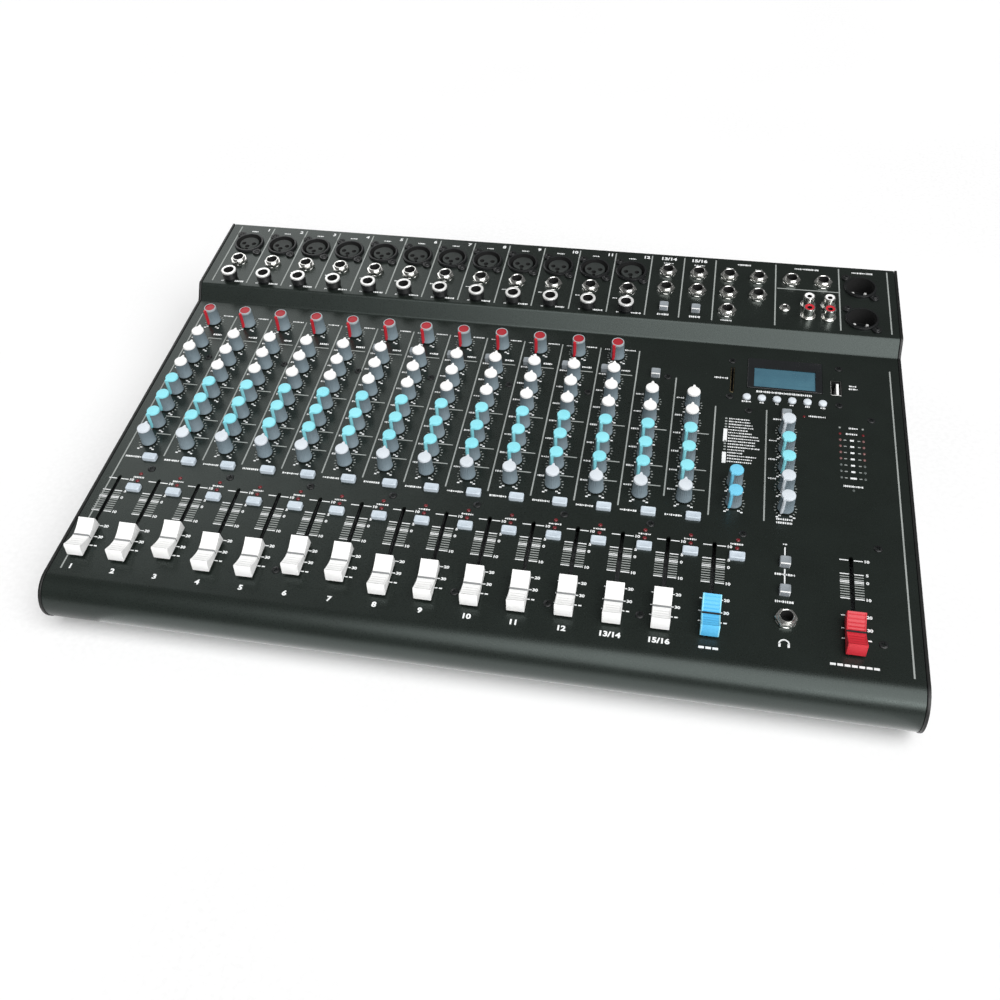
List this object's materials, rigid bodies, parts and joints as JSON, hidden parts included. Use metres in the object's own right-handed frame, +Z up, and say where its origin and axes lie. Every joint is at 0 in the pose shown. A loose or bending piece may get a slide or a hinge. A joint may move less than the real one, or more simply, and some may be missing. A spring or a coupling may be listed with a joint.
{
  "type": "mixing console",
  "caption": "Compact audio mixing console with channel strips of knobs, push buttons and sliding faders, a built-in media player and a raised connector deck.",
  "frame": {"origin": "on the table under the middle of the console", "axes": "+X to the operator's right, +Y to the rear where the connectors are, +Z up"},
  "size_m": [0.5366, 0.373, 0.0929],
  "materials": {
    "casing": "satin, fine texture",
    "end_plates": "satin, fine texture",
    "rubber": "matte",
    "knob_slate": "matte, fluted",
    "circuit_board": "satin",
    "black_plastic": "satin",
    "nickel": "polished",
    "display_glass": "gloss",
    "cable_grey": "matte",
    "supply_steel": "brushed",
    "cap_red": "satin",
    "cap_white": "satin",
    "cap_cyan": "satin",
    "cap_blue": "satin",
    "button_grey": "satin",
    "button_blue": "satin"
  },
  "bodies": {
    "console": {"top_panel": "casing", "base_tray": "casing", "left_end_plate": "end_plates", "right_end_plate": "end_plates", "foot_front_left": "rubber", "foot_front_right": "rubber", "foot_rear_left": "rubber", "foot_rear_right": "rubber", "control_board": "knob_slate", "fader_board": "circuit_board", "mic_socket_bank": "black_plastic", "line_jack_bank": "nickel", "insert_jack_bank": "black_plastic", "output_jack_bank": "nickel", "phono_socket_bank": "nickel", "main_output_bank": "black_plastic", "headphone_jack": "nickel", "display_window": "display_glass", "player_board": "circuit_board", "ribbon_cable": "cable_grey", "power_supply": "supply_steel", "mains_inlet": "black_plastic"},
    "power_rocker": {"power_rocker": "black_plastic"},
    "knob_1_gain": {"knob_1_gain": "cap_red"},
    "knob_1_high": {"knob_1_high": "cap_white"},
    "knob_1_middle": {"knob_1_middle": "cap_white"},
    "knob_1_low": {"knob_1_low": "cap_white"},
    "knob_1_aux_1": {"knob_1_aux_1": "cap_cyan"},
    "knob_1_aux_2": {"knob_1_aux_2": "cap_cyan"},
    "knob_1_effects_send": {"knob_1_effects_send": "cap_cyan"},
    "knob_1_pan": {"knob_1_pan": "knob_slate"},
    "knob_effects_program": {"knob_effects_program": "cap_blue"},
    "knob_effects_parameter": {"knob_effects_parameter": "cap_blue"},
    "knob_playback_level": {"knob_playback_level": "knob_slate"},
    "knob_aux_1_master": {"knob_aux_1_master": "cap_cyan"},
    "knob_aux_2_master": {"knob_aux_2_master": "cap_cyan"},
    "knob_effects_master": {"knob_effects_master": "knob_slate"},
    "knob_control_room_level": {"knob_control_room_level": "knob_slate"},
    "fader_1": {"fader_1": "cap_white"},
    "fader_2": {"fader_2": "cap_white"},
    "fader_3": {"fader_3": "cap_white"},
    "fader_4": {"fader_4": "cap_white"},
    "fader_5": {"fader_5": "cap_white"},
    "fader_6": {"fader_6": "cap_white"},
    "fader_7": {"fader_7": "cap_white"},
    "fader_8": {"fader_8": "cap_white"},
    "fader_9": {"fader_9": "cap_white"},
    "fader_10": {"fader_10": "cap_white"},
    "fader_11": {"fader_11": "cap_white"},
    "fader_12": {"fader_12": "cap_white"},
    "fader_13_14": {"fader_13_14": "cap_white"},
    "fader_15_16": {"fader_15_16": "cap_white"},
    "fader_effects": {"fader_effects": "cap_blue"},
    "fader_main": {"fader_main": "cap_red"},
    "button_1_low_cut": {"button_1_low_cut": "button_grey"},
    "button_1_listen": {"button_1_listen": "button_blue"},
    "button_1_mute": {"button_1_mute": "button_blue"},
    "button_phantom_power": {"button_phantom_power": "button_grey"},
    "button_playback_routing": {"button_playback_routing": "button_grey"},
    "button_main_routing": {"button_main_routing": "button_grey"}
  },
  "joints": [
    {"name": "power_rocker_turn", "type": "hinge", "parent": "console", "child": "power_rocker", "pos_m": [-0.176, 0.17959, 0.044], "axis": [1, 0, 0], "range_deg": [-20, 0]},
    {"name": "knob_1_gain_turn", "type": "hinge", "parent": "console", "child": "knob_1_gain", "pos_m": [-0.24607, 0.07441, 0.07397], "axis": [0, 0.1045, -0.9945], "range_deg": [0, 300]},
    {"name": "knob_1_high_turn", "type": "hinge", "parent": "console", "child": "knob_1_high", "pos_m": [-0.24607, 0.04805, 0.0712], "axis": [0, 0.1045, -0.9945], "range_deg": [-150, 150]},
    {"name": "knob_1_middle_turn", "type": "hinge", "parent": "console", "child": "knob_1_middle", "pos_m": [-0.24607, 0.03099, 0.06941], "axis": [0, 0.1045, -0.9945], "range_deg": [-150, 150]},
    {"name": "knob_1_low_turn", "type": "hinge", "parent": "console", "child": "knob_1_low", "pos_m": [-0.24607, 0.01393, 0.06761], "axis": [0, 0.1045, -0.9945], "range_deg": [-150, 150]},
    {"name": "knob_1_aux_1_turn", "type": "hinge", "parent": "console", "child": "knob_1_aux_1", "pos_m": [-0.24607, -0.00314, 0.06582], "axis": [0, 0.1045, -0.9945], "range_deg": [0, 300]},
    {"name": "knob_1_aux_2_turn", "type": "hinge", "parent": "console", "child": "knob_1_aux_2", "pos_m": [-0.24607, -0.0202, 0.06403], "axis": [0, 0.1045, -0.9945], "range_deg": [0, 300]},
    {"name": "knob_1_effects_send_turn", "type": "hinge", "parent": "console", "child": "knob_1_effects_send", "pos_m": [-0.24607, -0.03726, 0.06223], "axis": [0, 0.1045, -0.9945], "range_deg": [0, 300]},
    {"name": "knob_1_pan_turn", "type": "hinge", "parent": "console", "child": "knob_1_pan", "pos_m": [-0.24607, -0.05432, 0.06044], "axis": [0, 0.1045, -0.9945], "range_deg": [-150, 150]},
    {"name": "knob_effects_program_turn", "type": "hinge", "parent": "console", "child": "knob_effects_program", "pos_m": [0.15592, -0.03726, 0.06223], "axis": [0, 0.1045, -0.9945], "range_deg": [0, 300]},
    {"name": "knob_effects_parameter_turn", "type": "hinge", "parent": "console", "child": "knob_effects_parameter", "pos_m": [0.15592, -0.05432, 0.06044], "axis": [0, 0.1045, -0.9945], "range_deg": [0, 300]},
    {"name": "knob_playback_level_turn", "type": "hinge", "parent": "console", "child": "knob_playback_level", "pos_m": [0.18855, 0.01393, 0.06761], "axis": [0, 0.1045, -0.9945], "range_deg": [0, 300]},
    {"name": "knob_aux_1_master_turn", "type": "hinge", "parent": "console", "child": "knob_aux_1_master", "pos_m": [0.18855, -0.00314, 0.06582], "axis": [0, 0.1045, -0.9945], "range_deg": [0, 300]},
    {"name": "knob_aux_2_master_turn", "type": "hinge", "parent": "console", "child": "knob_aux_2_master", "pos_m": [0.18855, -0.0202, 0.06403], "axis": [0, 0.1045, -0.9945], "range_deg": [0, 300]},
    {"name": "knob_effects_master_turn", "type": "hinge", "parent": "console", "child": "knob_effects_master", "pos_m": [0.18855, -0.03726, 0.06223], "axis": [0, 0.1045, -0.9945], "range_deg": [0, 300]},
    {"name": "knob_control_room_level_turn", "type": "hinge", "parent": "console", "child": "knob_control_room_level", "pos_m": [0.18855, -0.05432, 0.06044], "axis": [0, 0.1045, -0.9945], "range_deg": [0, 300]},
    {"name": "fader_1_travel", "type": "slide", "parent": "console", "child": "fader_1", "axis": [0, 0.9945, 0.1045], "range_m": [-0.00285, 0.05443]},
    {"name": "fader_2_travel", "type": "slide", "parent": "console", "child": "fader_2", "axis": [0, 0.9945, 0.1045], "range_m": [-0.00257, 0.05472]},
    {"name": "fader_3_travel", "type": "slide", "parent": "console", "child": "fader_3", "axis": [0, 0.9945, 0.1045], "range_m": [-0.00855, 0.04874]},
    {"name": "fader_4_travel", "type": "slide", "parent": "console", "child": "fader_4", "axis": [0, 0.9945, 0.1045], "range_m": [-0.00285, 0.05443]},
    {"name": "fader_5_travel", "type": "slide", "parent": "console", "child": "fader_5", "axis": [0, 0.9945, 0.1045], "range_m": [-0.00257, 0.05472]},
    {"name": "fader_6_travel", "type": "slide", "parent": "console", "child": "fader_6", "axis": [0, 0.9945, 0.1045], "range_m": [-0.00841, 0.04888]},
    {"name": "fader_7_travel", "type": "slide", "parent": "console", "child": "fader_7", "axis": [0, 0.9945, 0.1045], "range_m": [-0.00755, 0.04973]},
    {"name": "fader_8_travel", "type": "slide", "parent": "console", "child": "fader_8", "axis": [0, 0.9945, 0.1045], "range_m": [-0.00171, 0.05557]},
    {"name": "fader_9_travel", "type": "slide", "parent": "console", "child": "fader_9", "axis": [0, 0.9945, 0.1045], "range_m": [-0.00214, 0.05515]},
    {"name": "fader_10_travel", "type": "slide", "parent": "console", "child": "fader_10", "axis": [0, 0.9945, 0.1045], "range_m": [-0.00214, 0.05515]},
    {"name": "fader_11_travel", "type": "slide", "parent": "console", "child": "fader_11", "axis": [0, 0.9945, 0.1045], "range_m": [-0.00214, 0.05515]},
    {"name": "fader_12_travel", "type": "slide", "parent": "console", "child": "fader_12", "axis": [0, 0.9945, 0.1045], "range_m": [-0.00299, 0.05429]},
    {"name": "fader_13_14_travel", "type": "slide", "parent": "console", "child": "fader_13_14", "axis": [0, 0.9945, 0.1045], "range_m": [-0.00199, 0.05529]},
    {"name": "fader_15_16_travel", "type": "slide", "parent": "console", "child": "fader_15_16", "axis": [0, 0.9945, 0.1045], "range_m": [-0.00228, 0.055]},
    {"name": "fader_effects_travel", "type": "slide", "parent": "console", "child": "fader_effects", "axis": [0, 0.9945, 0.1045], "range_m": [-0.00171, 0.05557]},
    {"name": "fader_main_travel", "type": "slide", "parent": "console", "child": "fader_main", "axis": [0, 0.9945, 0.1045], "range_m": [-0.00114, 0.05615]},
    {"name": "button_1_low_cut_press", "type": "slide", "parent": "console", "child": "button_1_low_cut", "axis": [0, 0.1045, -0.9945], "range_m": [0, 0.002], "stiffness_N_per_m": 400},
    {"name": "button_1_listen_press", "type": "slide", "parent": "console", "child": "button_1_listen", "axis": [0, 0.1045, -0.9945], "range_m": [0, 0.002], "stiffness_N_per_m": 400},
    {"name": "button_1_mute_press", "type": "slide", "parent": "console", "child": "button_1_mute", "axis": [0, 0.1045, -0.9945], "range_m": [0, 0.002], "stiffness_N_per_m": 400},
    {"name": "button_phantom_power_press", "type": "slide", "parent": "console", "child": "button_phantom_power", "axis": [0, 0.1045, -0.9945], "range_m": [0, 0.002], "stiffness_N_per_m": 400},
    {"name": "button_playback_routing_press", "type": "slide", "parent": "console", "child": "button_playback_routing", "axis": [0, 0.1045, -0.9945], "range_m": [0, 0.002], "stiffness_N_per_m": 400},
    {"name": "button_main_routing_press", "type": "slide", "parent": "console", "child": "button_main_routing", "axis": [0, 0.1045, -0.9945], "range_m": [0, 0.002], "stiffness_N_per_m": 400}
  ]
}
